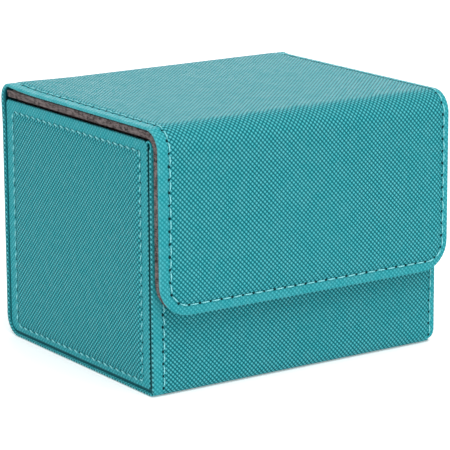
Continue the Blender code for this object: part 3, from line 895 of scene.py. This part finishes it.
FRONT_SEWN = Thread(0.18 * MM, bow=0.34 * MM, lean=0.03 * MM, lift=0.2 * MM, hole=1.05, glint=1.2)
BACK_SEWN = Thread(0.17 * MM, bow=0.1 * MM, lean=0.1 * MM, lift=0.08 * MM, hole=0.8, glint=1.5)
SIDE_SEWN = Thread(0.2 * MM, bow=0.05 * MM, lean=0.3 * MM, lift=0.13 * MM, hole=0.5, glint=3.0)
front_stitches, front_holes = stitched("cover_front_thread", cover_face, [front_panel.stitch_line()],
                                       COVER_PITCH, FRONT_SEWN)
for piece in (front_stitches, front_holes):
    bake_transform(piece)
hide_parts("flap_thread", "fold_thread_left", "fold_thread_right", "lid_thread_left",
            "lid_thread_right")
back_stitches, back_holes = stitched(
    "cover_back_thread", cover_face, straight_lines(cover_sides, cover_insets, SEAM_V, CORNER_V - 1.0 * MM),
    COVER_PITCH, BACK_SEWN)
for piece in (back_stitches, back_holes):
    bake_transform(piece)
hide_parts("hinge_thread_left", "hinge_thread_right", "back_thread_left",
            "back_thread_right")


# -------- the band: the rest of the bottom and the front

CURL_DEGREES = 205
band = Path(BOTTOM_SEAM_Y, 0.0, 180)
band.run(BOTTOM_SEAM_Y - FRONT_FACE - FRONT_BOTTOM_RADIUS)
band.bend(FRONT_BOTTOM_RADIUS, 90)
WALL_V = band.length
band.run(FRONT_TOP - CURL_RADIUS - FRONT_BOTTOM_RADIUS)
CURL_V = band.length
band.bend(CURL_RADIUS, CURL_DEGREES)
BAND_END_V = band.length
BAND_FOLD_V = WALL_V - FRONT_BOTTOM_RADIUS * math.pi / 4
CORNER_CUTS = (1.0 * MM, 3.8 * MM)  # how far the front's lower corners are rounded off, left and right
CURL_THIN = -0.6 * MM
CURLING_V = (CURL_V - 1.6 * MM, CURL_V - 0.4 * MM)  # where the turned edge thins out into the curl
BAND_RISE = 4 * MM
BAND_BORDER, CURL_EDGE = 0.45, 0.3


def band_sides(v):
    sides = []
    for edge, cut in zip(BAND_SIDES, CORNER_CUTS):
        away = min(abs(v - BAND_FOLD_V), cut)
        taken = cut - math.sqrt(cut ** 2 - (cut - away) ** 2)
        sides.append(edge + math.copysign(taken, -edge))
    return sides


def band_rings(v):
    curled = shared(*CURLING_V, v)
    up = shared(BAND_FOLD_V, BAND_FOLD_V + BAND_RISE, v)
    edge_grain = mixed(BACK_EDGE, CURL_EDGE, curled)
    top = border_rings(BAND_REACH, BAND_CROWN * up * (1 - curled), BAND_BORDER, edge_grain,
                       up * (1 - curled), DROOP * (1 - curled))
    low = mixed(mixed(BOTTOM_LOW, FRONT_LOW, up), CURL_THIN, curled)
    rim, pocket = mixed(RIM, CURL_THIN, curled), mixed(POCKET, CURL_THIN, curled)
    return turned_under(top, low, rim, pocket, WALL, BAND_REACH, edge_grain)


FINE = 6 * MM  # the stations are closer this far on each side of the fold
stations = spaced(0.0, (BAND_FOLD_V - FINE, 39), (BAND_FOLD_V + FINE, 48), (CURL_V - 2.4 * MM, 95),
                  (CURL_V, 12), (BAND_END_V, 24))
front_band = strip_object("front_band", band, stations, band_sides, lambda v: BAND_INSETS, band_rings,
                          FINISH["leatherette"], BAND_PITCH)
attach(front_band, "body")
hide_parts("front_skin")
band_stitches, band_holes = stitched(
    "front_thread", band, straight_lines(lambda v: BAND_SIDES, lambda v: BAND_INSETS, WALL_V + 0.2 * MM,
                                         CURL_V - 2.0 * MM), BAND_PITCH, FRONT_SEWN)
for piece in (band_stitches, band_holes):
    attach(piece, "body")
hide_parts("front_thread_left", "front_thread_right")


# -------- the two sides

SIDE_PROUD = 0.6 * MM  # the leather's face over the CAD skin's face
SIDE_FRONT, SIDE_BACK = -38.4 * MM, 44.35 * MM
SIDE_BOTTOM = 1.6 * MM
SIDE_INSETS = [3.7 * MM, 2.0 * MM, 4.4 * MM, 3.6 * MM]
SIDE_CORNERS = [(0.8 * MM, 0.8 * MM), (3.6 * MM, 2.4 * MM), (1.6 * MM, 1.0 * MM), (2.0 * MM, 1.0 * MM)]
SIDE_REACH = STITCH + 6 * MM
SIDE_SPACING = 0.8 * MM
SIDE_CROWN = 0.35 * MM
SIDE_BORDER, SIDE_EDGE = 0.5, 0.95
SIDE_LOW, SIDE_POCKET = -0.5 * MM, -1.55 * MM

for title, sign in (("left", -1), ("right", 1)):
    low, high = node_box(title + "_side_skin")
    face = (high.x if sign > 0 else low.x) + sign * SIDE_PROUD
    side = Flat((face, 0, 0), (0, 1, 0), (0, 0, 1), (sign, 0, 0))
    panel = Panel(SIDE_FRONT, SIDE_BACK, SIDE_BOTTOM, high.z, SIDE_INSETS, SIDE_CORNERS, SIDE_SPACING,
                  SIDE_REACH)
    top = border_rings(SIDE_REACH, SIDE_CROWN, SIDE_BORDER, SIDE_EDGE)
    depth = abs(face) - min(abs(low.x), abs(high.x))
    rings = turned_under(top, SIDE_LOW, -depth, SIDE_POCKET, WALL, SIDE_REACH, BACK_EDGE)
    skin = panel_object(title + "_side", panel, rings, side, FINISH["leatherette"], SIDE_PITCH)
    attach(skin, "body")
    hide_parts(title + "_side_skin")
    stitches, holes = stitched(title + "_side_stitches", side, [panel.stitch_line()], SIDE_PITCH, SIDE_SEWN,
                               loop=True)
    for piece in (stitches, holes):
        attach(piece, "body")
    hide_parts(title + "_side_thread")


# -------- linings

SOFT_SHARES = (0.7, 0.45, 0.25, 0.12)  # where a pad's shoulder has its rings


def soft_rings(reach, crown, edge_round):
    """From the middle of a pad's face over its rounded shoulder to its edge."""
    rings = [Ring(reach, 0.0, 1.0)]
    for share in SOFT_SHARES:
        inset = edge_round + (reach - edge_round) * share
        rings.append(Ring(inset, -crown * (1 - float(smooth(share))) ** 2, 1.0))
    for angle in quarter(EDGE_STEPS):
        rings.append(Ring(edge_round * (1 - math.sin(angle)), -crown - edge_round * (1 - math.cos(angle)),
                          1.0, None, 0.0, math.sin(angle)))
    return rings


PAD_HALF = node_box("lid_lining")[1].x
PAD_THICK = node_box("lid_lining")[1].z - node_box("lid_lining")[0].z + 0.1 * MM
PAD_SWELL = 0.35 * MM  # the soft pad stands this far out of its lining's box
PAD_DROP = LID_TOP - node_box("lid_lining")[0].z + PAD_SWELL
PAD_INSET = 0.25 * MM
PAD_SEAM_V = SEAM_V - 3 * MM
PAD_CROWN = 0.1 * MM
PAD_WALL = 0.75 * MM  # from the pad's edge in to the board, and how deep its pocket is
PAD_CORNER = 6.8 * MM
PAD_ROUND, LINING_ROUND = 0.45 * MM, 0.25 * MM  # of the edge's upper corner, and below that of its lower one
PAD_UNDER, LINING_UNDER = 0.3 * MM, 0.2 * MM
PAD_SPACING = 0.9 * MM
LINING_HALF = node_box("hinge_lining")[1].x
LINING_THIN = 0.6 * MM
LINING_DROP = 3.0 * MM
PLAIN = (STITCH, STITCH)
pad_surface = Behind(cover, lambda v: PAD_DROP)
pad_panel = Panel(LID_SHIFT - PAD_HALF, LID_SHIFT + PAD_HALF, PAD_INSET, PAD_SEAM_V, [STITCH] * 4,
                  [(FLAP_CORNER, PAD_CORNER)] * 2 + OPEN_CORNERS, PAD_SPACING, COVER_REACH, open_top=True)


def pad_rings(share):
    """The pad's edge: a full pad round the lid's board at share 0, a thin lining at share 1."""
    thick = mixed(PAD_THICK, LINING_THIN, share)
    top = soft_rings(COVER_REACH, PAD_CROWN * (1 - share), mixed(PAD_ROUND, LINING_ROUND, share))
    pocket = -mixed(PAD_WALL, LINING_THIN, share)
    corner = mixed(PAD_UNDER, LINING_UNDER, share)
    return turned_under(top, -thick, -thick, pocket, PAD_WALL, COVER_REACH, 1.0, corner)


lid_pad = panel_object("lid_pad", pad_panel, pad_rings(0.0), pad_surface, FINISH["microfibre"])
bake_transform(lid_pad)
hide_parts("lid_lining", "fold_lining", "flap_lining")

HINGE_LENGTH = BACK_V - HINGE_V
PAD_THINS = (0.15, 0.62)  # the parts of the hinge's length between which the pad becomes a lining
LINING_END_V = BACK_V + (LID_TOP - HINGE_RADIUS - node_box("back_lining")[1].z)


def hinge_pad_share(v):
    start, end = (HINGE_V + part * HINGE_LENGTH for part in PAD_THINS)
    return shared(start, end, v)


def hinge_pad_sides(v):
    half = mixed(PAD_HALF, LINING_HALF, hinge_pad_share(v))
    return LID_SHIFT - half, LID_SHIFT + half


def hinge_pad_depth(v):
    """The pad's face stays on the inside, while the pad thins towards the back."""
    return mixed(PAD_DROP, LINING_DROP, smooth((v - HINGE_V) / HINGE_LENGTH))


stations = spaced(PAD_SEAM_V, (HINGE_V, 6), (BACK_V, 24), (LINING_END_V, 4))
hinge_pad = strip_object("hinge_pad", Behind(cover, hinge_pad_depth), stations, hinge_pad_sides,
                         lambda v: PLAIN, lambda v: pad_rings(hinge_pad_share(v)), FINISH["microfibre"])
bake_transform(hinge_pad)
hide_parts("hinge_lining")


LINER_REACH = 6 * MM
LINER_SPACING = 2.5 * MM
LINER_CORNERS = [(1.2 * MM, 0.6 * MM)] * 4
LINER_CROWN, LINER_ROUND = 0.08 * MM, 0.22 * MM
LINER_WALL, LINER_UNDER = 0.5 * MM, 0.1 * MM


def lining(node, face):
    """A thin lining glued on a wall: its face looks along the direction given."""
    low, high = node_box(node)
    outward = np.array(face, float)
    across, along = np.eye(3)[outward == 0]
    start = np.where(outward > 0, high, np.where(outward < 0, low, 0.0))
    surface = Flat(start, across, along, outward)
    u, v = ([float(np.dot(axis, corner)) for corner in (low, high)] for axis in (across, along))
    panel = Panel(*u, *v, [STITCH] * 4, LINER_CORNERS, LINER_SPACING, LINER_REACH)
    top = soft_rings(LINER_REACH, LINER_CROWN, LINER_ROUND)
    rings = turned_under(top, *[-LINING_THIN] * 3, LINER_WALL, LINER_REACH, 1.0, LINER_UNDER)
    piece = panel_object(node.replace("lining", "liner"), panel, rings, surface, FINISH["microfibre"])
    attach(piece, "body")
    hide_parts(node)


lining("front_lining", (0, 1, 0))
lining("back_lining", (0, -1, 0))
lining("bottom_lining", (0, 0, 1))
lining("left_side_lining", (1, 0, 0))
lining("right_side_lining", (-1, 0, 0))


# -------- boards and magnets keep their CAD shape

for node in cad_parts:
    kind = "board" if "board" in node else "magnet" if "magnet" in node else None
    if kind:
        carried = bpy.data.objects[node]
        carried.data.materials.clear()
        carried.data.materials.append(FINISH[kind])


# -------- floor, lights and camera

TARGET = Vector((0.0, 2.4 * MM, 39.0 * MM))


def aim(thing, azimuth, elevation, distance, roll=0.0):
    """Places a thing round the target, by angles in degrees, and turns it to the target."""
    a, e = math.radians(azimuth), math.radians(elevation)
    outward = Vector((math.sin(a) * math.cos(e), -math.cos(a) * math.cos(e), math.sin(e)))
    thing.location = TARGET + outward * distance
    turn = (TARGET - thing.location).to_track_quat("-Z", "Y").to_matrix()
    thing.rotation_euler = (turn @ Matrix.Rotation(math.radians(roll), 3, "Z")).to_euler()


def area_light(name, azimuth, elevation, distance, size, power, colour):
    data = bpy.data.lights.new(name, "AREA")
    data.shape = "DISK"
    data.size = size
    data.energy = power
    data.color = colour
    aim(link(name, data), azimuth, elevation, distance)


floor_mesh = bpy.data.meshes.new("floor")
floor_builder = bmesh.new()
bmesh.ops.create_grid(floor_builder, x_segments=12, y_segments=12, size=6.0)
floor_builder.to_mesh(floor_mesh)
floor_builder.free()
floor_mesh.materials.append(floor_finish())
floor = link("floor", floor_mesh)
floor.location.z = -0.1 * MM

area_light("key", azimuth=-15, elevation=65, distance=1.3, size=1.1, power=12.0, colour=(1.0, 0.99, 0.98))
area_light("back", azimuth=146, elevation=24, distance=1.4, size=1.0, power=6.0, colour=(1.0, 1.0, 1.0))

scene = bpy.context.scene
world = bpy.data.worlds.new("studio")
scene.world = world
world.use_nodes = True
sky = world.node_tree.nodes["Background"].inputs
sky["Color"].default_value = (1.0, 1.0, 1.0, 1.0)
sky["Strength"].default_value = 0.65
scene.view_settings.view_transform = "Standard"
scene.view_settings.look = "None"

camera_data = bpy.data.cameras.new("camera")
camera_data.sensor_width = 36.0
camera_data.lens = 201.9
camera_data.shift_x, camera_data.shift_y = 0.0140, -0.0153
camera_data.clip_end = 20.0
camera = link("camera", camera_data)
aim(camera, azimuth=-34.04, elevation=13.35, distance=0.8011, roll=-0.338)
scene.camera = camera
